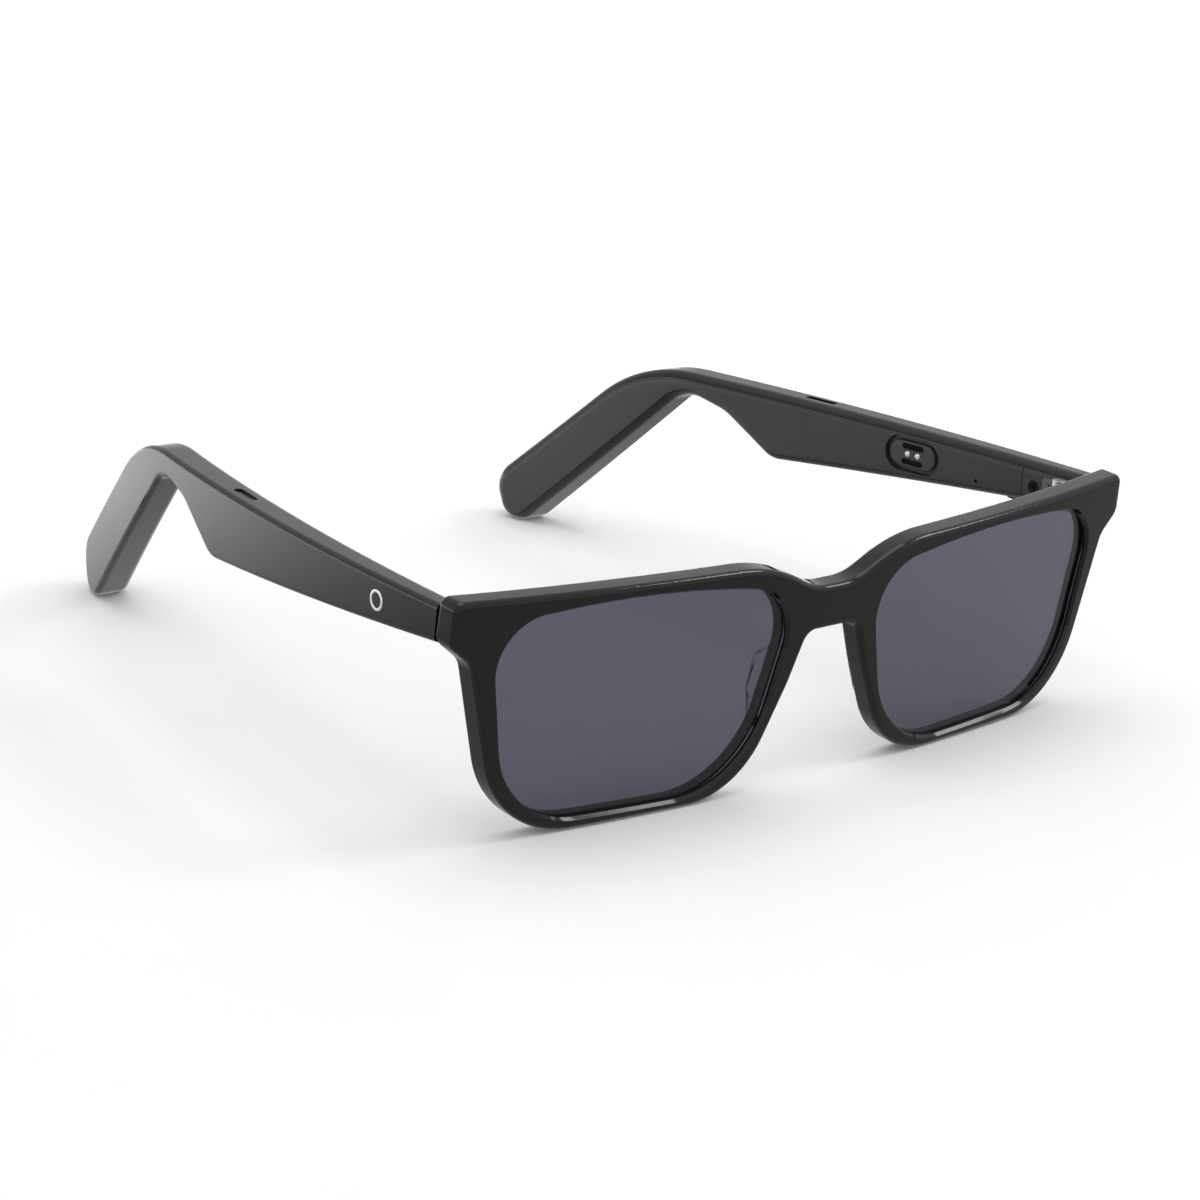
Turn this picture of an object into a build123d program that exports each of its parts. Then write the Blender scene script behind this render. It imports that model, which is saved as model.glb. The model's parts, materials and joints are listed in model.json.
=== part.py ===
from build123d import *
from math import asin, cos, radians, sin
import os

# Smart glasses: an acetate front with two tinted lenses, and two hollow temples that carry the
# electronics. +X is the wearer's left, -Y is the front and +Z is up. The glasses stand open on the
# bottoms of the rims and the tips of the temples, which touch Z = 0. The origin is on that surface,
# under the middle of the object. Every piece is built for the wearer's left and mirrored.

# ---------------------------------------------------------------- driving dimensions, millimetres
DATUM_Y = -69.41              # Y of the datum that distances behind the front are measured from
LIFT = -0.06                  # Z of the datum, so that the lowest points touch Z = 0
SETTLE = 0.985                # degrees that the temple beams fall towards the back
HALF_WIDTH = 73.0             # middle of the bridge to the outer end of the front

FRONT_SET_BACK = 1.9          # datum to the foot of the front face
FRONT_TILT = 3.9              # degrees that the top of the front leans forward
FRONT_BEND_R = 425.0          # radius that the front is bowed to
FRONT_THICK = 4.4
FRONT_TOP = 39.8              # height of the front along its own face
LENS_THICK = 2.0
LENS_SET_BACK = 1.1           # front face of the rim to the front face of the lens
GROOVE = 0.6                  # depth of the lens groove in the rim
GROOVE_GAP = 0.06             # room around the lens in its groove

TEMPLE_TOP = 38.9             # height of the temple's top face
TEMPLE_START = 8.0            # where the temple's face curves start, behind the datum
TEMPLE_END = 139.3
SEAM_GAP = 0.25               # open gap between front and temple
WALL = 1.2                    # shell and cover thickness
LIP = 1.1                     # rim of the shell seen around the inner cover
COVER_GAP = 0.08              # seam between the shell and what is let into it
COVER_START = 23.3            # seam between the hinge block and the inner cover

PIVOT_X = 66.9
PIVOT_BACK = 14.3             # pivot axis, behind the datum
KNUCKLE_R = 1.2
KNUCKLE_H = 0.88
KNUCKLE_PITCH = 0.98
STACK_Z = 32.85               # underside of the lowest knuckle
PIN_R = 0.6
PIN_GAP = 0.04                # radial running gap of the turning knuckles

POD_BACK = 47.3               # centre of the charging port, behind the datum
POD_Z = 34.2
MIC_BACK = 33.1
MIC_Z = 32.8
BLOCK_SCREW_BACK = 20.6
BLOCK_SCREW_Z = 34.7
EMBLEM_BACK = 25.8
EMBLEM_Z = 35.0
BUTTON_BACK = 26.4
BUTTON_TRAVEL = 0.35
SLOT_BACK = 70.9              # centre of the sound slot in the top face
SPEAKER_BACK = 70.0
VENT_BACK = 108.7
VENT_Z = 28.6
BATTERY_BACK = 122.4
BATTERY_Z = 20.05
TIP_SLOPE = 44.5              # degrees that the ear end drops

# ---------------------------------------------------------------- reference planes
# The glasses' own level is their straight temple beams. Standing on rims and tips, they settle with
# the beams falling slightly backward, so PLAN, the level plane of the glasses, leans by that much.
PLAN = Plane(
    origin=(0, DATUM_Y, LIFT), x_dir=(1, 0, 0), z_dir=(0, sin(radians(SETTLE)), cos(radians(SETTLE)))
)
SIDE = Plane(origin=PLAN.origin, x_dir=PLAN.y_dir, z_dir=PLAN.x_dir)
FRONT = Plane(
    origin=PLAN.origin + PLAN.y_dir * FRONT_SET_BACK,
    x_dir=PLAN.x_dir,
    z_dir=PLAN.y_dir * -cos(radians(FRONT_TILT)) - PLAN.z_dir * sin(radians(FRONT_TILT)),
)
FRONT_PLAN = Plane(origin=FRONT.origin, x_dir=FRONT.x_dir, z_dir=FRONT.y_dir)


def outer_x(back, inset=0.0):
    """X of the temple's outer face, drawn in by inset, at a distance behind the datum."""
    run = back - TEMPLE_START
    return HALF_WIDTH + 0.05 - 0.0285 * run - 0.0011077 * run**2 - inset


def inner_x(back, inset=0.0):
    """X of the temple's inner face, drawn in by inset, at a distance behind the datum."""
    run = back - TEMPLE_START
    return HALF_WIDTH - 4.45 - 0.059 * run - 0.0010308 * run**2 + inset


def face_slope(face, back):
    """How fast a temple face moves towards the wearer's middle, per millimetre of length."""
    return (face(back + 0.5) - face(back - 0.5)) / 1.0


def inner_plane(back, height):
    """Plane on the inner face, facing the wearer, with x forward and y up."""
    slope = face_slope(inner_x, back)
    return Plane(
        origin=PLAN.from_local_coords(Vector(inner_x(back), back, height)),
        x_dir=PLAN.x_dir * -slope - PLAN.y_dir,
        z_dir=PLAN.x_dir * -1 + PLAN.y_dir * slope,
    )


def outer_plane(back, height):
    """Plane on the outer face, facing away from the wearer, with x backward and y up."""
    slope = face_slope(outer_x, back)
    return Plane(
        origin=PLAN.from_local_coords(Vector(outer_x(back), back, height)),
        x_dir=PLAN.x_dir * slope + PLAN.y_dir,
        z_dir=PLAN.x_dir - PLAN.y_dir * slope,
    )


def seat_plane(across, up):
    """Plane on the back face of the front, facing backward, with x towards the nose and y up."""
    back_r = FRONT_BEND_R - FRONT_THICK
    turn = asin(across / back_r)
    depth = FRONT_BEND_R - back_r * cos(turn)
    return Plane(
        origin=FRONT.from_local_coords(Vector(across, up, -depth)),
        x_dir=FRONT.x_dir * -cos(turn) + FRONT.z_dir * sin(turn),
        z_dir=FRONT.x_dir * -sin(turn) + FRONT.z_dir * -cos(turn),
    )


# ---------------------------------------------------------------- profiles
def rounded(corners, shrink=0.0):
    """A closed outline with a radius at each corner, drawn in by shrink."""
    with BuildSketch() as outline:
        with BuildLine():
            FilletPolyline([(x, y) for x, y, r in corners], radius=[r for x, y, r in corners], close=True)
        make_face()
        if shrink:
            offset(amount=-shrink, kind=Kind.INTERSECTION)
    return outline.sketch


def layer(near_points, far_points):
    """The band between two arcs, each through three points."""
    with BuildSketch() as band:
        with BuildLine():
            near = ThreePointArc(*near_points)
            far = ThreePointArc(*far_points)
            Line(near @ 0, far @ 0)
            Line(near @ 1, far @ 1)
        make_face()
    return band.sketch


def front_outline():
    """Outline of the front as seen from the front: brow line, end pieces, rims and bridge."""
    half = [
        (4.3, 33.5, 12.0),
        (14.5, 38.65, 28.0),
        (HALF_WIDTH, FRONT_TOP, 1.5),
        (HALF_WIDTH + 0.3, 32.8, 2.5),
        (69.4, 29.5, 4.0),
        (62.2, 0.0, 16.9),
        (16.4, 0.0, 15.9),
        (8.3, 17.9, 20.0),
        (5.3, 26.2, 2.6),
    ]
    return rounded(half + [(-x, y, r) for x, y, r in reversed(half)])


def lens_outline(grow=0.0):
    """Edge of the lens opening, grown by the depth of the groove for the lens itself."""
    corners = [(8.0, 33.75, 9.0), (38.0, 38.2, 150.0), (66.3, 35.3, 8.5), (61.0, 2.2, 15.0), (15.7, 1.4, 17.6)]
    return rounded(corners, -grow)


def bowed_slab(front_depth, back_depth):
    """Plan section of a layer of the bowed front, between two depths behind its front face."""
    reach = HALF_WIDTH + 4
    arcs = []
    for depth in (front_depth, back_depth):
        end_depth = FRONT_BEND_R - ((FRONT_BEND_R - depth) ** 2 - reach**2) ** 0.5
        arcs.append([(-reach, end_depth), (0, depth), (reach, end_depth)])
    return layer(*arcs)


def temple_outline(shrink=0.0):
    """Side view of the temple: straight beam, deep belly for the speaker, and the dropped ear end."""
    corners = [
        (TEMPLE_START - 3, TEMPLE_TOP, 0),
        (109.2, TEMPLE_TOP, 28.0),
        (TEMPLE_END, 10.3, 5.6),
        (135.6, -1.05, 4.0),
        (98.9, 35.35, 6.7),
        (89.9, 33.1, 10.4),
        (79.0, 26.3, 5.2),
        (TEMPLE_START - 3, 33.3, 0),
    ]
    return rounded(corners, shrink)


STATIONS = (TEMPLE_START - 3, 75.0, TEMPLE_END + 4)


def temple_band(outer_inset, inner_inset):
    """Plan section of a layer of the temple, between insets from its outer and inner faces."""
    outer = [(outer_x(back, outer_inset), back) for back in STATIONS]
    inner = [(inner_x(back, inner_inset), back) for back in STATIONS]
    return layer(outer, inner)


def inner_layer(depth, beyond=4.0):
    """Plan section of a layer of the temple from beyond its inner face to a depth inside it."""
    bed = [(inner_x(back, depth), back) for back in STATIONS]
    clear = [(inner_x(back, -beyond), back) for back in STATIONS]
    return layer(bed, clear)


os.makedirs("parts", exist_ok=True)


def save(piece, label):
    """Labels a finished piece and writes its file."""
    piece.part.label = label
    export_step(piece.part, f"parts/{label}.step")


def save_pair(piece, label):
    """Writes a piece of the left side, and its mirror image for the right side."""
    save(piece, f"{label}_left")
    with BuildPart() as twin:
        mirror(piece.part, about=Plane.YZ)
    save(twin, f"{label}_right")


# ---------------------------------------------------------------- front frame
SEAT = seat_plane(68.8, 34.65)            # middle of the hinge leaf, on the back of the end piece
LEAF_PLATE = (5.4, 5.0)
LEAF_THICK = 0.9
LEAF_SCREWS = [(-1.5, -1.3), (-1.5, 1.3)]
SCREW_R = 0.5
HEAD_R = 0.95
FRONT_REACH = 3.0                         # start of cuts in front of the datum face

with BuildPart() as groove:
    with BuildSketch(FRONT.offset(FRONT_REACH)):
        add(lens_outline(GROOVE))
    extrude(amount=-22)
    with BuildSketch(FRONT_PLAN.offset(-2)):
        add(bowed_slab(LENS_SET_BACK - GROOVE_GAP, LENS_SET_BACK + LENS_THICK + GROOVE_GAP))
    extrude(amount=46, mode=Mode.INTERSECT)

with BuildPart() as front_frame:
    with BuildSketch(FRONT.offset(FRONT_REACH)):
        add(front_outline())
    extrude(amount=-22)
    with BuildSketch(FRONT_PLAN.offset(-2)):
        add(bowed_slab(0, FRONT_THICK))
    extrude(amount=46, mode=Mode.INTERSECT)
    front_face = front_frame.faces().sort_by(SortBy.AREA)[-2:].sort_by(Axis.Y)[0]
    fillet(front_face.outer_wire().edges(), 1.0)
    back_face = front_frame.faces().sort_by(SortBy.AREA)[-2:].sort_by(Axis.Y)[-1]
    fillet(back_face.outer_wire().edges(), 0.8)
    with BuildSketch(FRONT.offset(FRONT_REACH)):
        add(lens_outline())
        add(lens_outline().mirror(Plane.YZ))
    extrude(amount=-22, mode=Mode.SUBTRACT)
    front_face = front_frame.faces().sort_by(SortBy.AREA)[-2:].sort_by(Axis.Y)[0]
    chamfer(front_face.inner_wires().edges(), 0.55, 0.4)
    add(groove.part, mode=Mode.SUBTRACT)
    add(groove.part.mirror(Plane.YZ), mode=Mode.SUBTRACT)
    with BuildPart(mode=Mode.PRIVATE) as seat_cut:
        with BuildSketch(SEAT.offset(0.05)):
            RectangleRounded(LEAF_PLATE[0] + 0.1, LEAF_PLATE[1] + 0.1, 0.25)
        extrude(amount=-LEAF_THICK - 0.08)
        with BuildSketch(SEAT):
            with Locations(*LEAF_SCREWS):
                Circle(SCREW_R + 0.02)
        extrude(amount=-3.2)
    add(seat_cut.part, mode=Mode.SUBTRACT)
    add(seat_cut.part.mirror(Plane.YZ), mode=Mode.SUBTRACT)
save(front_frame, "front_frame")

# ---------------------------------------------------------------- lenses
with BuildPart() as lens:
    with BuildSketch(FRONT.offset(FRONT_REACH)):
        add(lens_outline(GROOVE - GROOVE_GAP))
    extrude(amount=-22)
    with BuildSketch(FRONT_PLAN.offset(-2)):
        add(bowed_slab(LENS_SET_BACK, LENS_SET_BACK + LENS_THICK))
    extrude(amount=46, mode=Mode.INTERSECT)
save_pair(lens, "lens")

# ---------------------------------------------------------------- nose pads
PAD_LEAN = 22.0                           # degrees from vertical, along the side of the nose
RIDGE_LEAN = 10.0
RIDGE_DEPTH = 6.6                         # back of the pads, behind the front face
RIDGE_EDGE = 0.4                          # how much the ridge is rounded off
with BuildPart() as nose_pad:
    with BuildSketch(FRONT.offset(-3.0)):
        with Locations((9.75, 16.9)):
            SlotOverall(19.7, 3.4, rotation=PAD_LEAN - 90)
    with BuildSketch(FRONT.offset(RIDGE_EDGE - RIDGE_DEPTH)):
        with Locations((11.35, 18.7)):
            SlotOverall(7.0, 1.7, rotation=RIDGE_LEAN - 90)
    with BuildSketch(FRONT.offset(-RIDGE_DEPTH)):
        with Locations((11.45, 18.7)):
            SlotOverall(6.2, 0.9, rotation=RIDGE_LEAN - 90)
    loft(ruled=True)
    with BuildSketch(FRONT_PLAN.offset(-2)):
        add(bowed_slab(FRONT_THICK + 0.02, RIDGE_DEPTH + 2))
    extrude(amount=46, mode=Mode.INTERSECT)
save_pair(nose_pad, "nose_pad")

# ---------------------------------------------------------------- hinge, front half
WEB_ROOT_BACK = 8.9                       # foot of the knuckle webs, inside the leaf plate
WEB_WIDTH = 1.6

with BuildPart() as hinge_front_leaf:
    with BuildSketch(SEAT):
        RectangleRounded(*LEAF_PLATE, 0.2)
    extrude(amount=-LEAF_THICK)
    for level in (0, 2, 4):
        with BuildSketch(PLAN.offset(STACK_Z + level * KNUCKLE_PITCH)):
            with Locations((PIVOT_X, PIVOT_BACK)):
                Circle(KNUCKLE_R)
            with Locations((PIVOT_X + KNUCKLE_R - WEB_WIDTH, WEB_ROOT_BACK)):
                Rectangle(WEB_WIDTH, PIVOT_BACK - WEB_ROOT_BACK, align=(Align.MIN, Align.MIN))
        extrude(amount=KNUCKLE_H)
    with BuildSketch(PLAN.offset(STACK_Z - 1)):
        with Locations((PIVOT_X, PIVOT_BACK)):
            Circle(PIN_R + 0.02)
    extrude(amount=8, mode=Mode.SUBTRACT)
    with Locations(SEAT):
        with Locations(*LEAF_SCREWS):
            CounterSinkHole(SCREW_R + 0.02, HEAD_R + 0.03, depth=2)
save_pair(hinge_front_leaf, "hinge_front_leaf")

with BuildPart() as hinge_front_screws:
    with BuildSketch(SEAT):
        with Locations(*LEAF_SCREWS):
            Circle(SCREW_R)
    extrude(amount=-3.1)
    with Locations(SEAT):
        with Locations(*LEAF_SCREWS):
            Cone(SCREW_R, HEAD_R, HEAD_R - SCREW_R, align=(Align.CENTER, Align.CENTER, Align.MAX))
    with BuildSketch(SEAT):
        with Locations(*LEAF_SCREWS):
            Rectangle(1.1, 0.28)
            Rectangle(0.28, 1.1)
    extrude(amount=-0.25, mode=Mode.SUBTRACT)
save_pair(hinge_front_screws, "hinge_front_screws")

with BuildPart() as hinge_pin:
    with BuildSketch(PLAN.offset(STACK_Z + 0.1)):
        with Locations((PIVOT_X, PIVOT_BACK)):
            Circle(PIN_R)
    extrude(amount=4 * KNUCKLE_PITCH + KNUCKLE_H - 0.15)
    with BuildSketch(PLAN.offset(STACK_Z + 4 * KNUCKLE_PITCH + KNUCKLE_H - 0.05)):
        with Locations((PIVOT_X, PIVOT_BACK)):
            Rectangle(1.3, 0.25)
    extrude(amount=-0.3, mode=Mode.SUBTRACT)
save_pair(hinge_pin, "hinge_pin")

# ---------------------------------------------------------------- temple shell and inner cover
LEAF_BACK = 15.95                         # middle of the temple leaf, behind the datum
HINGE_Z = 35.3
TEMPLE_LEAF = (5.9, 3.4)
TEMPLE_LEAF_THICK = 0.8
END_WALL = 0.9                            # wall of the shell at its front end
POD_SIZE = (11.8, 6.3)
COVER_SEAM = Plane(origin=SIDE.origin + PLAN.y_dir * COVER_START, x_dir=PLAN.x_dir, z_dir=PLAN.y_dir)
LEAF_FACE = inner_plane(LEAF_BACK, HINGE_Z)
BLOCK_SCREW = inner_plane(BLOCK_SCREW_BACK, BLOCK_SCREW_Z)
POD = inner_plane(POD_BACK, POD_Z)
MIC = inner_plane(MIC_BACK, MIC_Z)
EMBLEM = outer_plane(EMBLEM_BACK, EMBLEM_Z)
VENT = outer_plane(VENT_BACK, VENT_Z)
SLOT_X = outer_x(SLOT_BACK) - 2.5
SLOT_TURN = 9.6                           # degrees that the temple has turned inward at the slot
SLOT_SIZE = (6.8, 1.5)
BUTTON_TURN = 4.0
BUTTON_SIZE = (3.2, 1.3)
EMBLEM_R = 1.7
EMBLEM_RING = 0.5                         # width of the plain ring inlay
VENT_SIZE = (6.5, 2.9)
BUTTON_X = (outer_x(BUTTON_BACK) + inner_x(BUTTON_BACK)) / 2

with BuildPart() as temple_blank:
    with BuildSketch(SIDE.offset(30)):
        add(temple_outline())
    extrude(amount=60)
    with BuildSketch(PLAN.offset(-3)):
        add(temple_band(0, 0))
    extrude(amount=46, mode=Mode.INTERSECT)
    sides = temple_blank.faces().sort_by(SortBy.AREA)[-2:].sort_by(Axis.X)
    inner_rim = sides[0].outer_wire().edges().sort_by(Axis.Y)[1:]
    fillet(inner_rim, 2.0)
    sides = temple_blank.faces().sort_by(SortBy.AREA)[-2:].sort_by(Axis.X)
    outer_rim = sides[1].outer_wire().edges().sort_by(Axis.Y)[1:]
    fillet(outer_rim, 0.9)
    split(bisect_by=SEAT.offset(SEAM_GAP), keep=Keep.TOP)

with BuildPart() as cavity:
    with BuildSketch(SIDE.offset(30)):
        add(temple_outline(LIP))
    extrude(amount=60)
    with BuildSketch(PLAN.offset(-3)):
        add(temple_band(WALL, -3))
    extrude(amount=46, mode=Mode.INTERSECT)
    split(bisect_by=SEAT.offset(SEAM_GAP + END_WALL), keep=Keep.TOP)

with BuildPart() as temple_shell:
    add(temple_blank.part)
    add(cavity.part, mode=Mode.SUBTRACT)
    with BuildSketch(PLAN.offset(TEMPLE_TOP + 1)):
        with Locations((SLOT_X, SLOT_BACK)):
            SlotOverall(*SLOT_SIZE, rotation=90 + SLOT_TURN)
    extrude(amount=-4, mode=Mode.SUBTRACT)
    with BuildSketch(PLAN.offset(28)):
        with Locations((BUTTON_X, BUTTON_BACK)):
            SlotOverall(BUTTON_SIZE[0] + 0.2, BUTTON_SIZE[1] + 0.2, rotation=90 + BUTTON_TURN)
    extrude(amount=5, mode=Mode.SUBTRACT)
    with BuildSketch(EMBLEM):
        Circle(EMBLEM_R + 0.04)
        Circle(EMBLEM_R - EMBLEM_RING - 0.04, mode=Mode.SUBTRACT)
    extrude(amount=-0.4, mode=Mode.SUBTRACT)
    with BuildSketch(VENT):
        SlotOverall(VENT_SIZE[0] + 0.16, VENT_SIZE[1] + 0.16, rotation=-TIP_SLOPE)
    extrude(amount=-0.7, mode=Mode.SUBTRACT)
    with BuildSketch(VENT):
        SlotOverall(4.6, 1.4, rotation=-TIP_SLOPE)
    extrude(amount=-3, mode=Mode.SUBTRACT)
    with BuildSketch(BLOCK_SCREW):
        Circle(SCREW_R + 0.02)
    extrude(amount=-4.5, mode=Mode.SUBTRACT)
save_pair(temple_shell, "temple_shell")

with BuildPart() as let_in:
    with BuildSketch(SIDE.offset(30)):
        add(temple_outline(LIP + COVER_GAP))
    extrude(amount=60)

with BuildPart() as temple_cover:
    add(temple_blank.part)
    add(let_in.part, mode=Mode.INTERSECT)
    with BuildSketch(PLAN.offset(-3)):
        add(inner_layer(WALL))
    extrude(amount=46, mode=Mode.INTERSECT)
    split(bisect_by=COVER_SEAM, keep=Keep.TOP)
    with BuildSketch(POD):
        SlotOverall(POD_SIZE[0] + 0.16, POD_SIZE[1] + 0.16)
    extrude(amount=-3, both=True, mode=Mode.SUBTRACT)
    with BuildSketch(MIC):
        Circle(0.35)
    extrude(amount=-3, both=True, mode=Mode.SUBTRACT)
save_pair(temple_cover, "temple_cover")

# ---------------------------------------------------------------- hinge, temple half
with BuildPart() as hinge_block:
    add(temple_blank.part)
    add(let_in.part, mode=Mode.INTERSECT)
    with BuildSketch(PLAN.offset(-3)):
        add(temple_band(WALL + 0.05, 0))
    extrude(amount=46, mode=Mode.INTERSECT)
    split(bisect_by=COVER_SEAM.offset(-0.15), keep=Keep.BOTTOM)
    split(bisect_by=SEAT.offset(SEAM_GAP + END_WALL + 0.05), keep=Keep.TOP)
    with BuildSketch(LEAF_FACE.offset(2)):
        Rectangle(TEMPLE_LEAF[0] + 0.1, TEMPLE_LEAF[1] + 0.1)
    extrude(amount=-2 - TEMPLE_LEAF_THICK - 0.03, mode=Mode.SUBTRACT)
    with BuildSketch(LEAF_FACE):
        with Locations((-1.9, 0), (-0.2, 0)):
            Circle(0.42)
    extrude(amount=-2.2, mode=Mode.SUBTRACT)
    with Locations(BLOCK_SCREW):
        CounterBoreHole(SCREW_R + 0.02, 1.2, 0.65, depth=6)
save_pair(hinge_block, "hinge_block")

with BuildPart() as hinge_temple_leaf:
    with BuildSketch(LEAF_FACE):
        RectangleRounded(*TEMPLE_LEAF, 0.4)
    extrude(amount=-TEMPLE_LEAF_THICK)
    for level in (1, 3):
        with BuildSketch(PLAN.offset(STACK_Z + level * KNUCKLE_PITCH)):
            with Locations((PIVOT_X, PIVOT_BACK)):
                Circle(KNUCKLE_R)
                Rectangle(2.0, 2 * KNUCKLE_R, align=(Align.MIN, Align.CENTER))
        extrude(amount=KNUCKLE_H)
    with BuildSketch(PLAN.offset(STACK_Z - 1)):
        with Locations((PIVOT_X, PIVOT_BACK)):
            Circle(PIN_R + PIN_GAP)
    extrude(amount=8, mode=Mode.SUBTRACT)
    with BuildSketch(LEAF_FACE):
        with Locations((-1.9, 0), (-0.2, 0)):
            Circle(0.42)
    extrude(amount=-2, mode=Mode.SUBTRACT)
save_pair(hinge_temple_leaf, "hinge_temple_leaf")

with BuildPart() as hinge_leaf_rivets:
    with BuildSketch(LEAF_FACE.offset(0.02)):
        with Locations((-1.9, 0), (-0.2, 0)):
            Circle(0.4)
    extrude(amount=-2.1)
    with BuildSketch(LEAF_FACE.offset(0.02)):
        with Locations((-1.9, 0), (-0.2, 0)):
            Circle(0.65)
    extrude(amount=0.2)
save_pair(hinge_leaf_rivets, "hinge_leaf_rivets")

with BuildPart() as block_screw:
    with BuildSketch(BLOCK_SCREW.offset(-0.63)):
        Circle(1.1)
    extrude(amount=0.5)
    with BuildSketch(BLOCK_SCREW.offset(-0.63)):
        Circle(SCREW_R)
    extrude(amount=-3.5)
    with BuildSketch(BLOCK_SCREW.offset(-0.13)):
        Rectangle(1.3, 0.34)
        Rectangle(0.34, 1.3)
    extrude(amount=-0.3, mode=Mode.SUBTRACT)
save_pair(block_screw, "block_screw")

# ---------------------------------------------------------------- charging port
PLATE_SIZE = (10.0, 4.7)
MAGNET_SIZE = (4.6, 1.0)
MAGNET_UP = 1.42
PIN_PITCH = 2.2

with BuildPart() as charge_port:
    with BuildSketch(POD.offset(-0.9)):
        SlotOverall(*POD_SIZE)
    extrude(amount=-0.8)
    with BuildSketch(POD.offset(-0.9)):
        SlotOverall(*PLATE_SIZE)
    extrude(amount=0.8)
    fillet(charge_port.faces().sort_by(Axis.X)[0].edges(), 0.25)
    with BuildSketch(POD):
        with Locations((0, MAGNET_UP), (0, -MAGNET_UP)):
            SlotOverall(MAGNET_SIZE[0] + 0.06, MAGNET_SIZE[1] + 0.06)
        with Locations((PIN_PITCH / 2, 0), (-PIN_PITCH / 2, 0)):
            Circle(0.6)
    extrude(amount=-1.3, mode=Mode.SUBTRACT)
save_pair(charge_port, "charge_port")

with BuildPart() as charge_magnets:
    with BuildSketch(POD.offset(-0.22)):
        with Locations((0, MAGNET_UP), (0, -MAGNET_UP)):
            SlotOverall(*MAGNET_SIZE)
    extrude(amount=-1.05)
save_pair(charge_magnets, "charge_magnets")

with BuildPart() as charge_pins:
    with BuildSketch(POD.offset(-1.27)):
        with Locations((PIN_PITCH / 2, 0), (-PIN_PITCH / 2, 0)):
            Circle(0.55)
    extrude(amount=1.3)
    fillet(charge_pins.faces().sort_by(Axis.X)[:2].edges(), 0.2)
save_pair(charge_pins, "charge_pins")

# ---------------------------------------------------------------- what the temple holds
def wall_strip(inset, thick, start, end):
    """Plan section of a thin strip that follows the temple's outer wall from start to end."""
    stops = (start, (start + end) / 2, end)
    near = [(outer_x(back, inset), back) for back in stops]
    far = [(outer_x(back, inset + thick), back) for back in stops]
    return layer(near, far)


with BuildPart() as microphone:
    with BuildSketch(MIC.offset(-WALL - 0.1)):
        Rectangle(2.6, 1.7)
    extrude(amount=-0.8)
save_pair(microphone, "microphone")

with BuildPart() as touch_sensor:
    with BuildSketch(PLAN.offset(33.0)):
        add(wall_strip(WALL + 0.05, 0.2, 38, 53))
    extrude(amount=4.0)
save_pair(touch_sensor, "touch_sensor")

BOARD = outer_plane(42.8, 35.2).offset(-WALL - 0.6)
CHIPS = [(-2.5, 0, 4.0, 3.0), (3.0, 0.3, 3.0, 2.4), (8.5, 0, 3.4, 3.0)]
with BuildPart() as circuit_board:
    with BuildSketch(BOARD):
        RectangleRounded(26.4, 4.0, 0.5)
    extrude(amount=-0.6)
    for along, up, length, height in CHIPS:
        with BuildSketch(BOARD.offset(-0.6)):
            with Locations((along, up)):
                Rectangle(length, height)
        extrude(amount=-0.55)
save_pair(circuit_board, "circuit_board")

with BuildPart() as speaker_driver:
    with BuildSketch(inner_plane(SPEAKER_BACK, 33.4).offset(-WALL - 0.1)):
        RectangleRounded(13.0, 6.2, 1.2)
    extrude(amount=-2.0)
    with BuildSketch(inner_plane(SPEAKER_BACK, 33.4).offset(-WALL - 2.1)):
        RectangleRounded(10.0, 4.4, 1.0)
    extrude(amount=-0.45)
save_pair(speaker_driver, "speaker_driver")

with BuildPart() as battery:
    with BuildSketch(outer_plane(BATTERY_BACK, BATTERY_Z).offset(-WALL - 0.55)):
        RectangleRounded(26.0, 6.4, 1.0, rotation=-TIP_SLOPE)
    extrude(amount=-3.2)
    fillet(battery.edges().filter_by(GeomType.LINE).sort_by(Axis.X)[:4], 0.4)
save_pair(battery, "battery")

with BuildPart() as flex_cable:
    with BuildSketch(SIDE.offset(30)):
        with BuildLine():
            FilletPolyline((56.5, 36.4), (102.0, 36.4), (113.8, 30.4), radius=8)
        trace(line_width=1.4)
    extrude(amount=60)
    with BuildSketch(PLAN):
        add(wall_strip(WALL + 0.15, 0.25, 56.0, 115.0))
    extrude(amount=46, mode=Mode.INTERSECT)
save_pair(flex_cable, "flex_cable")

# ---------------------------------------------------------------- sound, vent, mark and button
with BuildPart() as speaker_grille:
    with BuildSketch(PLAN.offset(TEMPLE_TOP - 0.35)):
        with Locations((SLOT_X, SLOT_BACK)):
            SlotOverall(SLOT_SIZE[0] - 0.1, SLOT_SIZE[1] - 0.1, rotation=90 + SLOT_TURN)
    extrude(amount=-0.4)
    turned = PLAN.offset(TEMPLE_TOP).move(Location((SLOT_X, SLOT_BACK, 0))).rotated((0, 0, SLOT_TURN))
    with BuildSketch(turned):
        with GridLocations(0.7, 0.85, 2, 7):
            Circle(0.24)
    extrude(amount=-2, mode=Mode.SUBTRACT)
save_pair(speaker_grille, "speaker_grille")

with BuildPart() as rear_vent:
    with BuildSketch(VENT.offset(-0.1)):
        SlotOverall(*VENT_SIZE, rotation=-TIP_SLOPE)
    extrude(amount=-0.55)
    with BuildSketch(VENT):
        with Locations(*[Vector(step, 0).rotate(Axis.Z, -TIP_SLOPE) for step in (-1.8, -0.6, 0.6, 1.8)]):
            Circle(0.3)
    extrude(amount=-2, mode=Mode.SUBTRACT)
save_pair(rear_vent, "rear_vent")

with BuildPart() as emblem:
    with BuildSketch(EMBLEM.offset(0.05)):
        Circle(EMBLEM_R)
        Circle(EMBLEM_R - EMBLEM_RING, mode=Mode.SUBTRACT)
    extrude(amount=-0.4)
    fillet(emblem.faces().sort_by(Axis.X)[-1].edges(), 0.1)
save_pair(emblem, "emblem")

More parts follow.
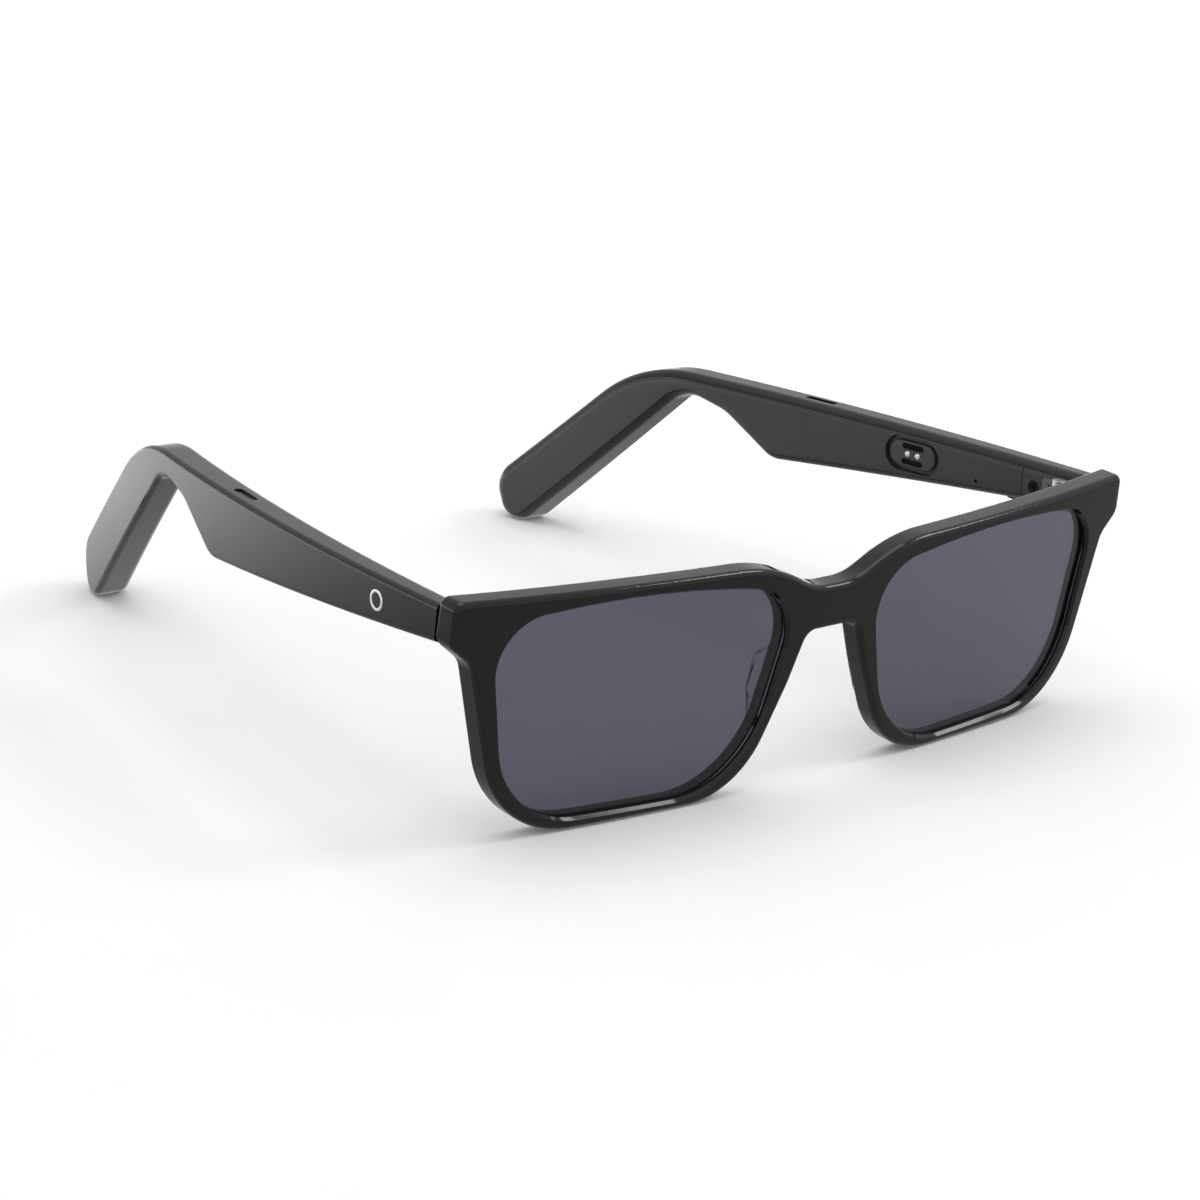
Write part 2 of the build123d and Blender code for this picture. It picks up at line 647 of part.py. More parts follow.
BUTTON = PLAN.offset(30.8).move(Location((BUTTON_X, BUTTON_BACK, 0)))
with BuildPart() as action_button:
    with BuildSketch(BUTTON):
        SlotOverall(*BUTTON_SIZE, rotation=90 + BUTTON_TURN)
    extrude(amount=2.0)
    fillet(action_button.faces().sort_by(Axis.Z)[0].edges(), 0.3)
    with BuildSketch(BUTTON.offset(1.9)):
        SlotOverall(4.4, 2.1, rotation=90 + BUTTON_TURN)
    extrude(amount=0.35)
save_pair(action_button, "action_button")

with BuildPart() as button_switch:
    with BuildSketch(BUTTON.offset(1.9 + 0.35 + BUTTON_TRAVEL + 0.06)):
        Rectangle(2.0, 3.0, rotation=BUTTON_TURN)
    extrude(amount=0.9)
save_pair(button_switch, "button_switch")
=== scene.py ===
"""Looks of a pair of smart glasses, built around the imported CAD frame.

The CAD solids give every shape and place. This script welds and smooths copies of the parts that are
seen, dresses each one in a procedural finish, weaves wire cloth behind the openings, and sets a studio.
Lengths are metres and angles are degrees, in the same frame as the CAD: +X is the wearer's left, -Y is
the front and +Z is up.
"""

import json
import logging
import math
from dataclasses import dataclass, field
from enum import Enum
from typing import Any

import bmesh
import bpy
import numpy as np
from mathutils import Matrix, Vector


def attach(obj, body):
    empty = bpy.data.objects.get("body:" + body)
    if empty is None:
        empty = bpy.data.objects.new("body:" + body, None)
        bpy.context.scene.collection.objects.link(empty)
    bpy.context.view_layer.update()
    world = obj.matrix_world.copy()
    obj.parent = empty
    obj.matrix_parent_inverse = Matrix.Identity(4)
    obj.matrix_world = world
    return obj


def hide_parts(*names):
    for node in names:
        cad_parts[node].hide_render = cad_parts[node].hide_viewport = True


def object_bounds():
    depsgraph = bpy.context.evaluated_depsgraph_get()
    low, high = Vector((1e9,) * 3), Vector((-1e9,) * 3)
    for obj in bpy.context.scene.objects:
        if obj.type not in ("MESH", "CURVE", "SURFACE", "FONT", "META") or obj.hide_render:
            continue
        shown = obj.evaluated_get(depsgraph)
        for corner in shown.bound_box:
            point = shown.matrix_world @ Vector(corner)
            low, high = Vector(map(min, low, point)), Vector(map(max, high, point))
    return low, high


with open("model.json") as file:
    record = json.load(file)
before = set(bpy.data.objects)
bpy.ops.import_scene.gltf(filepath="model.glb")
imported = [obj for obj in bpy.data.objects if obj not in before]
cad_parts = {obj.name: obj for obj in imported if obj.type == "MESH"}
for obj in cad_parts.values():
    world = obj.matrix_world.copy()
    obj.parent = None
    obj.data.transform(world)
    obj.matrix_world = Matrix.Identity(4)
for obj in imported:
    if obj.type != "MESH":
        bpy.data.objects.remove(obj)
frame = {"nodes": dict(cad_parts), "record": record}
CAD_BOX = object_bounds()

log = logging.getLogger("glasses")

MM = 0.001
Color = tuple[float, float, float]
Point = tuple[float, float, float]

# How a CAD node is smoothed: points this near are one, and edges past this angle stay sharp.
WELD = 0.002 * MM
CREASE = 32.0
STRONG_FACES = 100

# The part of each noise pattern's reach that a finish's spread is laid over.
CLOUD_REACH = (0.3, 0.7)
SUM_REACH = (0.6, 1.4)


class Side(Enum):
    """The wearer's side that a temple hangs on."""

    LEFT = "left"
    RIGHT = "right"

    def node(self, part: str) -> str:
        """Name of this side's node of a mirrored part."""
        return f"{part}_{self.value}"


class Surface(Enum):
    """How a finish scatters light."""

    PLASTIC = "plastic"
    METAL = "metal"
    LENS = "lens"


def node_input(shader: bpy.types.ShaderNode, name: str, value: Any) -> None:
    """Sets a constant on a shader socket.

    Args:
        shader: The node that holds the socket.
        name: The socket's name.
        value: A number or colour.
    """
    shader.inputs[name].default_value = value


@dataclass(frozen=True)
class Finish:
    """A procedural finish whose colour, gloss and relief vary over the piece.

    The patterns read Object coordinates, so they stay on the piece as it moves.
    """

    name: str
    color: Color
    surface: Surface = Surface.PLASTIC
    roughness: float = 0.2
    color_spread: float = 0.06
    roughness_spread: float = 0.03
    cloud_scale: float = 60.0
    cloud_detail: float = 3.0
    grain_scale: float = 4000.0
    grain_detail: float = 2.0
    relief: float = 0.02
    relief_depth: float = 0.00002
    ior: float = 1.49
    anisotropy: float = 0.0

    def build(self) -> bpy.types.Material:
        """Makes the material.

        Returns:
            The new material, ready for a slot.
        """
        material = bpy.data.materials.new(self.name)
        material.use_nodes = True
        tree = material.node_tree
        shader = tree.nodes["Principled BSDF"]
        self._constants(shader)
        coords = tree.nodes.new("ShaderNodeTexCoord")
        cloud = self._noise(tree, coords, self.cloud_scale, self.cloud_detail)
        grain = self._noise(tree, coords, self.grain_scale, self.grain_detail)
        self._color(tree, cloud, shader)
        self._roughness(tree, cloud, grain, shader)
        self._relief(tree, grain, shader)
        return material

    def _constants(self, shader: bpy.types.ShaderNode) -> None:
        """Sets the values that are the same all over the surface.

        Args:
            shader: The material's shader.
        """
        node_input(shader, "Metallic", 1.0 if self.surface is Surface.METAL else 0.0)
        node_input(shader, "IOR", self.ior)
        node_input(shader, "Anisotropic", self.anisotropy)
        if self.surface is Surface.LENS:
            node_input(shader, "Transmission Weight", 1.0)

    def _noise(self, tree: Any, coords: Any, scale: float, detail: float) -> bpy.types.ShaderNode:
        """Adds a noise pattern on Object coordinates.

        Args:
            tree: The material's node tree.
            coords: The texture coordinate node.
            scale: Size of the pattern, in features per metre.
            detail: How many finer layers it holds.

        Returns:
            The noise node.
        """
        noise = tree.nodes.new("ShaderNodeTexNoise")
        noise.inputs["Scale"].default_value = scale
        noise.inputs["Detail"].default_value = detail
        tree.links.new(coords.outputs["Object"], noise.inputs["Vector"])
        return noise

    def _color(self, tree: Any, cloud: Any, shader: Any) -> None:
        """Mixes two close shades of the colour by the cloud pattern.

        Args:
            tree: The material's node tree.
            cloud: The broad noise pattern.
            shader: The material's shader.
        """
        ramp = tree.nodes.new("ShaderNodeValToRGB")
        low, high = 1.0 - self.color_spread, 1.0 + self.color_spread
        ramp.color_ramp.elements[0].position = CLOUD_REACH[0]
        ramp.color_ramp.elements[1].position = CLOUD_REACH[1]
        ramp.color_ramp.elements[0].color = (*(min(c * low, 1.0) for c in self.color), 1.0)
        ramp.color_ramp.elements[1].color = (*(min(c * high, 1.0) for c in self.color), 1.0)
        tree.links.new(cloud.outputs["Fac"], ramp.inputs["Fac"])
        tree.links.new(ramp.outputs["Color"], shader.inputs["Base Color"])

    def _roughness(self, tree: Any, cloud: Any, grain: Any, shader: Any) -> None:
        """Varies the gloss with both patterns, as handling and polishing leave it.

        Args:
            tree: The material's node tree.
            cloud: The broad noise pattern.
            grain: The fine noise pattern.
            shader: The material's shader.
        """
        both = tree.nodes.new("ShaderNodeMath")
        both.operation = "ADD"
        tree.links.new(cloud.outputs["Fac"], both.inputs[0])
        tree.links.new(grain.outputs["Fac"], both.inputs[1])
        span = tree.nodes.new("ShaderNodeMapRange")
        span.inputs["From Min"].default_value = SUM_REACH[0]
        span.inputs["From Max"].default_value = SUM_REACH[1]
        span.inputs["To Min"].default_value = max(self.roughness - self.roughness_spread, 0.0)
        span.inputs["To Max"].default_value = self.roughness + self.roughness_spread
        tree.links.new(both.outputs["Value"], span.inputs["Value"])
        tree.links.new(span.outputs["Result"], shader.inputs["Roughness"])

    def _relief(self, tree: Any, grain: Any, shader: Any) -> None:
        """Adds fine relief from the grain pattern.

        Args:
            tree: The material's node tree.
            grain: The fine noise pattern.
            shader: The material's shader.
        """
        bump = tree.nodes.new("ShaderNodeBump")
        bump.inputs["Strength"].default_value = self.relief
        bump.inputs["Distance"].default_value = self.relief_depth
        tree.links.new(grain.outputs["Fac"], bump.inputs["Height"])
        tree.links.new(bump.outputs["Normal"], shader.inputs["Normal"])


POLISHED_ACETATE = Finish("polished_acetate", (0.0025, 0.0022, 0.0026), roughness=0.08, ior=1.46)
TEMPLE_BLACK = Finish("temple_black", (0.006, 0.0056, 0.0061), roughness=0.2, ior=1.45)
COVER_BLACK = Finish("cover_black", (0.034, 0.0332, 0.0345), roughness=0.24, ior=1.47)
CLEAR_SILICONE = Finish(
    "clear_silicone", (0.9, 0.9, 0.91), Surface.LENS, roughness=0.08, color_spread=0.01,
    roughness_spread=0.02, relief=0.0, ior=1.41,
)
SMOKE_LENS = Finish(
    "smoke_lens", (0.106, 0.097, 0.131), Surface.LENS, roughness=0.02, color_spread=0.01,
    roughness_spread=0.005, relief=0.0, ior=1.45,
)
HINGE_NICKEL = Finish("hinge_nickel", (0.72, 0.72, 0.73), Surface.METAL, roughness=0.22, anisotropy=0.4)
DARK_NICKEL = Finish("dark_nickel", (0.16, 0.16, 0.165), Surface.METAL, roughness=0.25)
BLACK_ZINC = Finish("black_zinc", (0.02, 0.02, 0.021), Surface.METAL, roughness=0.3)
PORT_PLASTIC = Finish("port_plastic", (0.036, 0.0352, 0.0365), roughness=0.28, relief=0.06)
MAGNET_COAT = Finish("magnet_coat", (0.001, 0.001, 0.0011), roughness=0.5, ior=1.2)
BRIGHT_PLATE = Finish("bright_plate", (0.86, 0.86, 0.87), Surface.METAL, roughness=0.16)
DEVICE_CAN = Finish("device_can", (0.6, 0.6, 0.61), Surface.METAL, roughness=0.3)
POLYIMIDE = Finish("polyimide", (0.55, 0.27, 0.04), roughness=0.35)
SOLDER_MASK = Finish("solder_mask", (0.02, 0.14, 0.06), roughness=0.35)
DRIVER_BODY = Finish("driver_body", (0.03, 0.03, 0.032), roughness=0.45)
BATTERY_FOIL = Finish("battery_foil", (0.7, 0.71, 0.72), Surface.METAL, roughness=0.35, relief=0.3)
GRILLE_STEEL = Finish("grille_steel", (0.11, 0.11, 0.115), Surface.METAL, roughness=0.35)
CLOTH_STEEL = Finish("cloth_steel", (0.3, 0.3, 0.31), Surface.METAL, roughness=0.28)
VENT_PLASTIC = Finish("vent_plastic", (0.013, 0.0127, 0.0134), roughness=0.26)
BUTTON_PLASTIC = Finish("button_plastic", (0.011, 0.0108, 0.0114), roughness=0.16)


class Workshop:
    """Makes materials once each, and finished pieces from CAD nodes."""

    def __init__(self) -> None:
        """Starts with no materials made."""
        self._made: dict[str, bpy.types.Material] = {}
        self._slots = {p["node"]: p["material_slot"] for p in frame["record"]["subparts"]}
        self._bodies = {
            node: body for body, nodes in frame["record"]["behaviour"]["bodies"].items() for node in nodes
        }

    def material(self, finish: Finish) -> bpy.types.Material:
        """Finds the finish's material, and makes it the first time.

        Args:
            finish: The finish that is wanted.

        Returns:
            The one material made from that finish.
        """
        if finish.name not in self._made:
            self._made[finish.name] = finish.build()
        return self._made[finish.name]

    def dress(self, node: str, finish: Finish) -> None:
        """Gives a CAD node that stays as it is a better material.

        Args:
            node: The CAD node's name.
            finish: The finish that it takes.
        """
        mesh = frame["nodes"][node].data
        mesh.materials.clear()
        mesh.materials.append(self.material(finish))
        log.info("dressed %s in %s", node, finish.name)

    def smooth_copy(self, node: str, finish: Finish) -> bpy.types.Object:
        """Replaces a CAD node with a welded copy that shades smoothly.

        Args:
            node: The CAD node's name.
            finish: The finish that the copy takes.

        Returns:
            The new piece, which rides on the node's body.
        """
        mesh = frame["nodes"][node].data.copy()
        mesh.name = f"{node}_skin"
        work = bmesh.new()
        work.from_mesh(mesh)
        bmesh.ops.remove_doubles(work, verts=work.verts, dist=WELD)
        for face in work.faces:
            face.smooth = True
        crease = math.radians(CREASE)
        for edge in work.edges:
            edge.smooth = len(edge.link_faces) == 2 and edge.calc_face_angle(0.0) < crease
        work.to_mesh(mesh)
        work.free()
        if "custom_normal" in mesh.attributes:
            mesh.attributes.remove(mesh.attributes["custom_normal"])
        mesh.materials.clear()
        mesh.materials.append(self.material(finish))
        piece = bpy.data.objects.new(f"{node}_skin", mesh)
        bpy.context.scene.collection.objects.link(piece)
        weigh = piece.modifiers.new("even_shading", "WEIGHTED_NORMAL")
        weigh.keep_sharp = True
        weigh.weight = STRONG_FACES
        self.place(piece, node)
        return piece

    def place(self, piece: bpy.types.Object, node: str) -> None:
        """Makes a piece stand for a CAD node, and ride with its body."""
        self.fasten(piece, node)
        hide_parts(node)

    def fasten(self, piece: bpy.types.Object, node: str) -> None:
        """Makes a piece ride with a CAD node's body.

        Args:
            piece: The finished piece.
            node: The CAD node's name.
        """
        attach(piece, self._bodies[node])
        log.info("built %s on %s", piece.name, self._bodies[node])


@dataclass(frozen=True)
class Seat:
    """A middle point and three directions: along, across and out of a flat CAD part."""

    middle: Vector
    along: Vector
    across: Vector
    out: Vector

    @classmethod
    def of(cls, node: str, outward: Vector) -> "Seat":
        """Reads the seat from the spread of a CAD node's points.

        Args:
            node: The CAD node's name.
            outward: Roughly the way that its outer face looks.

        Returns:
            The seat, in the row frame.
        """
        points = np.array([vertex.co for vertex in frame["nodes"][node].data.vertices], float)
        middle = (points.min(axis=0) + points.max(axis=0)) / 2
        _, directions = np.linalg.eigh(np.cov((points - middle).T))
        out, across, along = (Vector(directions[:, column]) for column in range(3))
        if out.dot(outward) < 0:
            out.negate()
        if along.cross(across).dot(out) < 0:
            across.negate()
        return cls(Vector(middle), along, across, out)

    def matrix(self, lift: float) -> Matrix:
        """Places flat work on the seat.

        Args:
            lift: How far out from the middle it lies.

        Returns:
            The transform for a mesh drawn with x along, y across and z out.
        """
        turn = Matrix((self.along, self.across, self.out)).transposed()
        return Matrix.Translation(self.middle + self.out * lift) @ turn.to_4x4()


@dataclass
class WireCloth:
    """Woven wire cloth that keeps dust out of an opening, grown by Geometry Nodes."""

    shop: Workshop
    node: str
    outward: Vector
    length: float
    width: float
    lift: float
    pitch: float = 0.26 * MM
    wire: float = 0.085 * MM
    wire_sides: int = 6
    steps_per_pitch: int = 4

    def build(self) -> None:
        """Weaves the cloth and fastens it behind the opening."""
        tree = self._tree()
        carrier = bpy.data.objects.new("cloth_carrier", bpy.data.meshes.new("cloth_carrier"))
        bpy.context.scene.collection.objects.link(carrier)
        weave = carrier.modifiers.new("weave", "NODES")
        weave.node_group = tree
        sizes = {"Length": self.length, "Width": self.width, "Pitch": self.pitch, "Wire": self.wire}
        for item in tree.interface.items_tree:
            if item.item_type == "SOCKET" and item.in_out == "INPUT" and item.name in sizes:
                weave[item.identifier] = sizes[item.name]
        graph = bpy.context.evaluated_depsgraph_get()
        mesh = bpy.data.meshes.new_from_object(carrier.evaluated_get(graph))
        carrier.modifiers.remove(weave)
        bpy.data.objects.remove(carrier)
        mesh.transform(Seat.of(self.node, self.outward).matrix(self.lift))
        piece = bpy.data.objects.new(f"{self.node}_cloth", mesh)
        bpy.context.scene.collection.objects.link(piece)
        self.shop.fasten(piece, self.node)

    def _tree(self) -> bpy.types.NodeTree:
        """Draws the node tree.

        Returns:
            A tree with the cloth's sizes as named inputs, which ends in a plain mesh with its material.
        """
        tree = bpy.data.node_groups.new(f"{self.node}_weave", "GeometryNodeTree")
        for name in ("Length", "Width", "Pitch", "Wire"):
            tree.interface.new_socket(name, in_out="INPUT", socket_type="NodeSocketFloat")
        tree.interface.new_socket("Geometry", in_out="OUTPUT", socket_type="NodeSocketGeometry")
        sizes = tree.nodes.new("NodeGroupInput")
        both = tree.nodes.new("GeometryNodeJoinGeometry")
        for lengthwise in (True, False):
            tree.links.new(self._wires(tree, sizes, lengthwise), both.inputs["Geometry"])
        plain = tree.nodes.new("GeometryNodeRealizeInstances")
        dress = tree.nodes.new("GeometryNodeSetMaterial")
        dress.inputs["Material"].default_value = self.shop.material(CLOTH_STEEL)
        result = tree.nodes.new("NodeGroupOutput")
        tree.links.new(both.outputs["Geometry"], plain.inputs["Geometry"])
        tree.links.new(plain.outputs["Geometry"], dress.inputs["Geometry"])
        tree.links.new(dress.outputs["Geometry"], result.inputs["Geometry"])
        return tree

    def _math(self, tree: bpy.types.NodeTree, operation: str, *terms: Any) -> bpy.types.NodeSocket:
        """Adds one sum to the tree.

        Args:
            tree: The node tree.
            operation: The name of the sum.
            terms: Numbers or sockets.

        Returns:
            The socket that gives the answer.
        """
        node = tree.nodes.new("ShaderNodeMath")
        node.operation = operation
        for place, term in enumerate(terms):
            if isinstance(term, (int, float)):
                node.inputs[place].default_value = term
            else:
                tree.links.new(term, node.inputs[place])
        return node.outputs["Value"]

    def _point(self, tree: bpy.types.NodeTree, **parts: Any) -> bpy.types.NodeSocket:
        """Joins sockets into a vector, with nothing in the parts left out.

        Args:
            tree: The node tree.
            parts: The socket for each axis that is given, by the axis's letter.

        Returns:
            The socket that gives the vector.
        """
        joined = tree.nodes.new("ShaderNodeCombineXYZ")
        for axis, part in parts.items():
            tree.links.new(part, joined.inputs[axis])
        return joined.outputs["Vector"]

    def _wires(self, tree: bpy.types.NodeTree, sizes: Any, lengthwise: bool) -> bpy.types.NodeSocket:
        """Lays every wire of one direction, waved over and under the others.

        Args:
            tree: The node tree.
            sizes: The group's input node.
            lengthwise: Whether these wires run along the cloth or across it.

        Returns:
            The socket that gives the wires' mesh.
        """
        run, spread = ("Length", "Width") if lengthwise else ("Width", "Length")
        run_axis, spread_axis = ("X", "Y") if lengthwise else ("Y", "X")
        pitch = sizes.outputs["Pitch"]
        half_run = self._math(tree, "MULTIPLY", sizes.outputs[run], 0.5)
        spaces = self._math(tree, "FLOOR", self._math(
            tree, "DIVIDE", self._math(tree, "MULTIPLY", sizes.outputs[spread], 0.5), pitch))
        first = self._math(tree, "MULTIPLY", self._math(tree, "MULTIPLY", spaces, -1.0), pitch)
        row = tree.nodes.new("GeometryNodeMeshLine")
        tree.links.new(self._math(tree, "MULTIPLY_ADD", spaces, 2.0, 1.0), row.inputs["Count"])
        tree.links.new(self._point(tree, **{spread_axis: first}), row.inputs["Start Location"])
        tree.links.new(self._point(tree, **{spread_axis: pitch}), row.inputs["Offset"])
        wire = tree.nodes.new("GeometryNodeCurvePrimitiveLine")
        start = self._math(tree, "MULTIPLY", half_run, -1.0)
        tree.links.new(self._point(tree, **{run_axis: start}), wire.inputs["Start"])
        tree.links.new(self._point(tree, **{run_axis: half_run}), wire.inputs["End"])
        steps = tree.nodes.new("GeometryNodeResampleCurve")
        count = self._math(tree, "DIVIDE", sizes.outputs[run], pitch)
        tree.links.new(wire.outputs["Curve"], steps.inputs["Curve"])
        bends = self._math(tree, "MULTIPLY", count, float(self.steps_per_pitch))
        tree.links.new(bends, steps.inputs["Count"])
        repeat = tree.nodes.new("GeometryNodeInstanceOnPoints")
        tree.links.new(row.outputs["Mesh"], repeat.inputs["Points"])
        tree.links.new(steps.outputs["Curve"], repeat.inputs["Instance"])
        loose = tree.nodes.new("GeometryNodeRealizeInstances")
        tree.links.new(repeat.outputs["Instances"], loose.inputs["Geometry"])
        wave = tree.nodes.new("GeometryNodeSetPosition")
        tree.links.new(loose.outputs["Geometry"], wave.inputs["Geometry"])
        tree.links.new(self._wave(tree, sizes, 0.5 if lengthwise else -0.5), wave.inputs["Offset"])
        ring = tree.nodes.new("GeometryNodeCurvePrimitiveCircle")
        ring.inputs["Resolution"].default_value = self.wire_sides
        tree.links.new(self._math(tree, "MULTIPLY", sizes.outputs["Wire"], 0.5), ring.inputs["Radius"])
        solid = tree.nodes.new("GeometryNodeCurveToMesh")
        solid.inputs["Fill Caps"].default_value = True
        tree.links.new(wave.outputs["Geometry"], solid.inputs["Curve"])
        tree.links.new(ring.outputs["Curve"], solid.inputs["Profile Curve"])
        return solid.outputs["Mesh"]

    def _wave(self, tree: bpy.types.NodeTree, sizes: Any, share: float) -> bpy.types.NodeSocket:
        """Gives each wire's height at a point, as a share of the wire's thickness.

        Args:
            tree: The node tree.
            sizes: The group's input node.
            share: Height of the crests; the crossing wires take the opposite sign.

        Returns:
            The socket that gives the offset.
        """
        place = tree.nodes.new("GeometryNodeInputPosition")
        parts = tree.nodes.new("ShaderNodeSeparateXYZ")
        tree.links.new(place.outputs["Position"], parts.inputs["Vector"])
        total = self._math(tree, "ADD", parts.outputs["X"], parts.outputs["Y"])
        turns = self._math(tree, "DIVIDE", total, sizes.outputs["Pitch"])
        crest = self._math(tree, "COSINE", self._math(tree, "MULTIPLY", turns, math.pi))
        reach = self._math(tree, "MULTIPLY", sizes.outputs["Wire"], share)
        height = self._math(tree, "MULTIPLY", crest, reach)
        return self._point(tree, Z=height)


@dataclass
class Front:
    """The acetate front with its lenses, nose pads and the hinge halves fixed to it."""

    shop: Workshop

    def build(self) -> None:
        """Makes the front's pieces."""
        self.shop.smooth_copy("front_frame", POLISHED_ACETATE)
        for side in Side:
            self.shop.smooth_copy(side.node("lens"), SMOKE_LENS)
            self.shop.smooth_copy(side.node("nose_pad"), CLEAR_SILICONE)
            self.shop.smooth_copy(side.node("hinge_front_leaf"), HINGE_NICKEL)
            self.shop.smooth_copy(side.node("hinge_front_screws"), BLACK_ZINC)
            self.shop.smooth_copy(side.node("hinge_pin"), HINGE_NICKEL)


@dataclass
class Temple:
    """One hollow temple and everything that it holds.

    Each cloth is given by its length, its width and how far out of its seat's middle it lies.
    """

    shop: Workshop
    side: Side
    slot_cloth: tuple[float, float, float] = (6.3 * MM, 1.2 * MM, -0.3 * MM)
    vent_cloth: tuple[float, float, float] = (4.2 * MM, 1.1 * MM, -0.4 * MM)
    seen: dict[str, Finish] = field(default_factory=lambda: {
        "temple_shell": TEMPLE_BLACK,
        "temple_cover": COVER_BLACK,
        "hinge_block": COVER_BLACK,
        "hinge_temple_leaf": DARK_NICKEL,
        "hinge_leaf_rivets": DARK_NICKEL,
        "block_screw": BLACK_ZINC,
        "charge_port": PORT_PLASTIC,
        "charge_magnets": MAGNET_COAT,
        "charge_pins": BRIGHT_PLATE,
        "speaker_grille": GRILLE_STEEL,
        "rear_vent": VENT_PLASTIC,
        "emblem": BRIGHT_PLATE,
        "action_button": BUTTON_PLASTIC,
    })
    enclosed: dict[str, Finish] = field(default_factory=lambda: {
        "microphone": DEVICE_CAN,
        "touch_sensor": POLYIMIDE,
        "circuit_board": SOLDER_MASK,
        "speaker_driver": DRIVER_BODY,
        "battery": BATTERY_FOIL,
        "flex_cable": POLYIMIDE,
        "button_switch": DEVICE_CAN,
    })

    def build(self) -> None:
        """Makes the temple's pieces."""
        for part, finish in self.seen.items():
            self.shop.smooth_copy(self.side.node(part), finish)
        for part, finish in self.enclosed.items():
            self.shop.dress(self.side.node(part), finish)
        outside = Vector((1.0 if self.side is Side.LEFT else -1.0, 0.0, 0.0))
        up = Vector((0.0, 0.0, 1.0))
        WireCloth(self.shop, self.side.node("speaker_grille"), up, *self.slot_cloth).build()
        WireCloth(self.shop, self.side.node("rear_vent"), outside, *self.vent_cloth).build()


@dataclass(frozen=True)
class Panel:
    """One square light panel: its place, the point that it faces, its side length and its power in watts."""

    name: str
    place: Point
    target: Point
    size: float
    power: float

    def hang(self) -> None:
        """Hangs the panel, turned to face its target."""
        light = bpy.data.lights.new(self.name, "AREA")
        light.size = self.size
        light.energy = self.power
        panel = bpy.data.objects.new(self.name, light)
        bpy.context.scene.collection.objects.link(panel)
        panel.location = Vector(self.place)
        facing = Vector(self.target) - Vector(self.place)
        panel.rotation_euler = facing.to_track_quat("-Z", "Y").to_euler()


OVERHEAD = Panel("overhead", (0.0, 0.1, 1.3), (0.0, 0.0, 0.0), size=1.2, power=5.6)
LEFT_STRIP = Panel("left_strip", (0.75, -0.35, 0.8), (0.0, -0.05, 0.03), size=0.32, power=1.8)


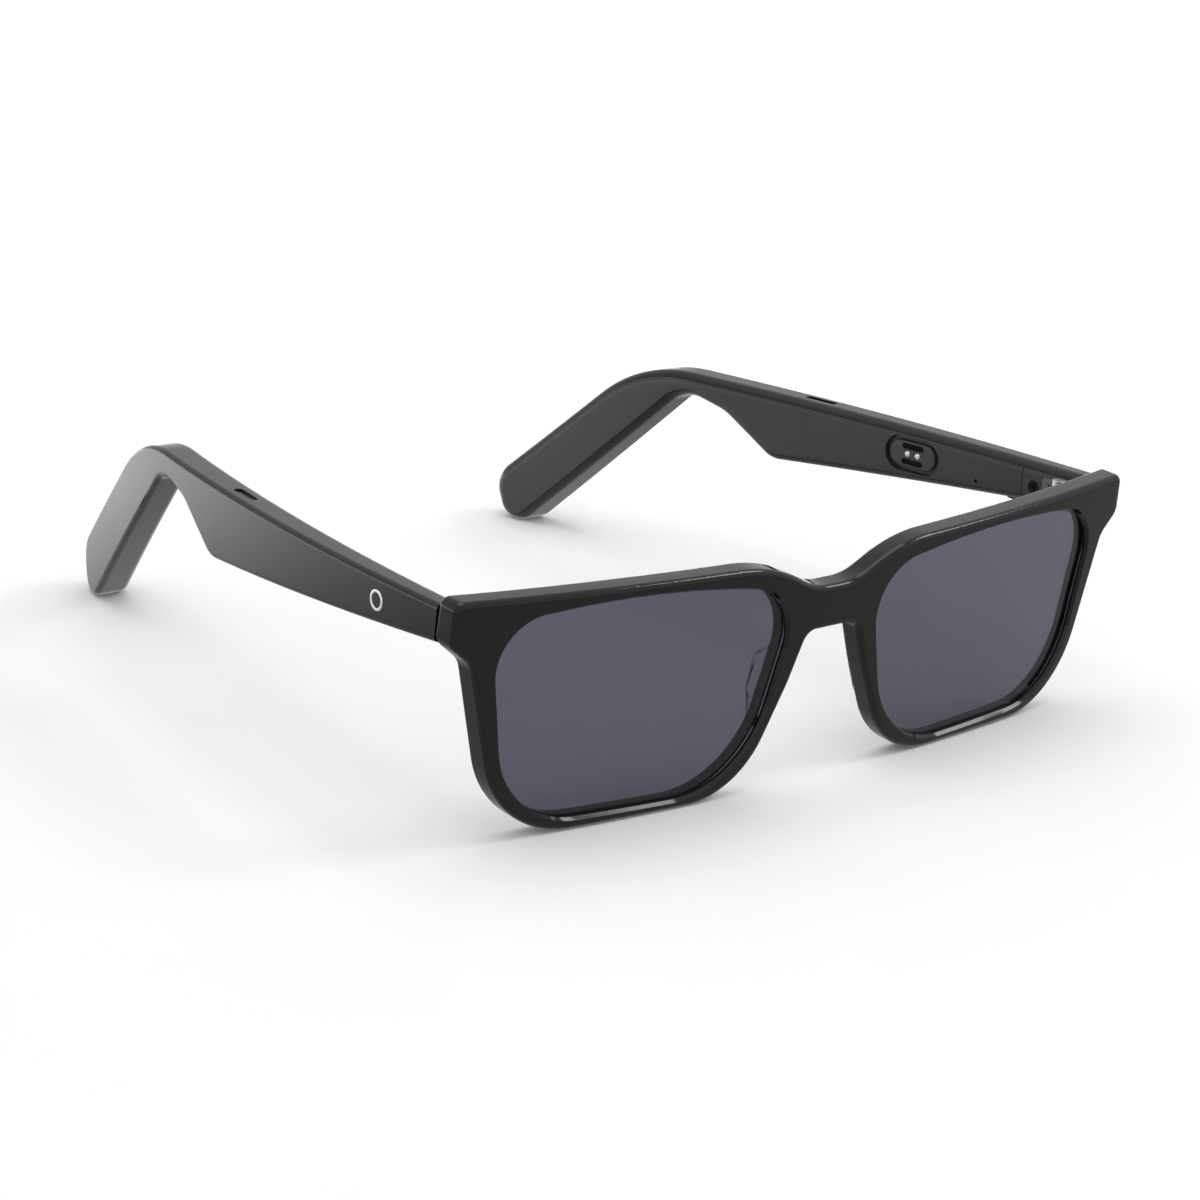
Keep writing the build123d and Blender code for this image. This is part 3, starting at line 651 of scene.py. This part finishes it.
@dataclass
class Studio:
    """A plain pale floor, even light, soft panels, a card that only reflections see, and the camera.

    The card's ramp is the two places along Y and the brightness at each.
    """

    azimuth: float = -42.018
    elevation: float = 18.335
    roll: float = 4.404
    distance: float = 0.4679
    aim: Vector = field(default_factory=lambda: Vector((-0.08758, -0.11019, 0.05721)))
    lens: float = 106.29
    sensor: float = 36.0
    nearest: float = 0.01
    world_strength: float = 0.77
    floor_reach: float = 6.0
    card_reach: float = 0.9
    card_lift: float = 0.02 * MM
    card_ramp: tuple[float, float, float, float] = (0.01, 0.17, 0.45, 2.3)

    def build(self) -> None:
        """Sets the floor, the world, the lights and the camera."""
        self._floor()
        self._world()
        OVERHEAD.hang()
        LEFT_STRIP.hang()
        self._bounce_card()
        self._camera()

    def _square(self, name: str, reach: float, level: float) -> bpy.types.Object:
        """Lays a level square around the origin.

        Args:
            name: The square's name.
            reach: How far each side is from the middle.
            level: Its height.

        Returns:
            The square, with no material yet.
        """
        mesh = bpy.data.meshes.new(name)
        turns = ((-reach, -reach), (reach, -reach), (reach, reach), (-reach, reach))
        mesh.from_pydata([(x, y, level) for x, y in turns], [], [(0, 1, 2, 3)])
        square = bpy.data.objects.new(name, mesh)
        bpy.context.scene.collection.objects.link(square)
        return square

    def _floor(self) -> None:
        """Lays the floor at the CAD box's lowest level."""
        floor = self._square("floor", self.floor_reach, CAD_BOX[0][2])
        paper = Finish("floor_paper", (0.93, 0.93, 0.935), roughness=0.85, color_spread=0.004, relief=0.0)
        floor.data.materials.append(paper.build())

    def _world(self) -> None:
        """Fills the studio with even light, and shows its tones without a film curve."""
        world = bpy.data.worlds.new("studio")
        bpy.context.scene.world = world
        world.use_nodes = True
        background = world.node_tree.nodes["Background"]
        background.inputs["Color"].default_value = (1.0, 1.0, 1.0, 1.0)
        background.inputs["Strength"].default_value = self.world_strength
        bpy.context.scene.view_settings.view_transform = "Standard"

    def _bounce_card(self) -> None:
        """Lays a card that only reflections see, dim in front of the glasses and bright behind them."""
        card = self._square("bounce_card", self.card_reach, CAD_BOX[0][2] + self.card_lift)
        for ray in ("camera", "diffuse", "transmission", "volume_scatter", "shadow"):
            setattr(card, f"visible_{ray}", False)
        card.data.materials.append(self._card_glow())

    def _card_glow(self) -> bpy.types.Material:
        """Makes the card's light, which grows towards the back.

        Returns:
            The card's material.
        """
        material = bpy.data.materials.new("bounce_card")
        material.use_nodes = True
        tree = material.node_tree
        tree.nodes.clear()
        coords = tree.nodes.new("ShaderNodeTexCoord")
        parts = tree.nodes.new("ShaderNodeSeparateXYZ")
        ramp = tree.nodes.new("ShaderNodeMapRange")
        ramp.interpolation_type = "SMOOTHSTEP"
        for name, value in zip(("From Min", "From Max", "To Min", "To Max"), self.card_ramp):
            ramp.inputs[name].default_value = value
        glow = tree.nodes.new("ShaderNodeEmission")
        result = tree.nodes.new("ShaderNodeOutputMaterial")
        tree.links.new(coords.outputs["Object"], parts.inputs["Vector"])
        tree.links.new(parts.outputs["Y"], ramp.inputs["Value"])
        tree.links.new(ramp.outputs["Result"], glow.inputs["Strength"])
        tree.links.new(glow.outputs["Emission"], result.inputs["Surface"])
        return material

    def _camera(self) -> None:
        """Points the camera at the glasses from the front, the wearer's right and a little above."""
        turn, rise = math.radians(self.azimuth), math.radians(self.elevation)
        back = Vector((math.sin(turn) * math.cos(rise), -math.cos(turn) * math.cos(rise), math.sin(rise)))
        right = back.cross(Vector((0, 0, -1))).normalized()
        up = back.cross(right)
        tilt = math.radians(self.roll)
        rolled_right = right * math.cos(tilt) + up * math.sin(tilt)
        rolled_up = up * math.cos(tilt) - right * math.sin(tilt)
        axes = Matrix((rolled_right, rolled_up, back)).transposed()
        data = bpy.data.cameras.new("view")
        data.lens = self.lens
        data.sensor_width = self.sensor
        data.clip_start = self.nearest
        camera = bpy.data.objects.new("view", data)
        bpy.context.scene.collection.objects.link(camera)
        camera.matrix_world = Matrix.Translation(self.aim + back * self.distance) @ axes.to_4x4()
        bpy.context.scene.camera = camera


def main() -> None:
    """Builds the front, both temples and the studio."""
    logging.basicConfig(level=logging.INFO, format="%(name)s: %(message)s")
    shop = Workshop()
    Front(shop).build()
    for side in Side:
        Temple(shop, side).build()
    Studio().build()


if __name__ == "__main__":
    main()
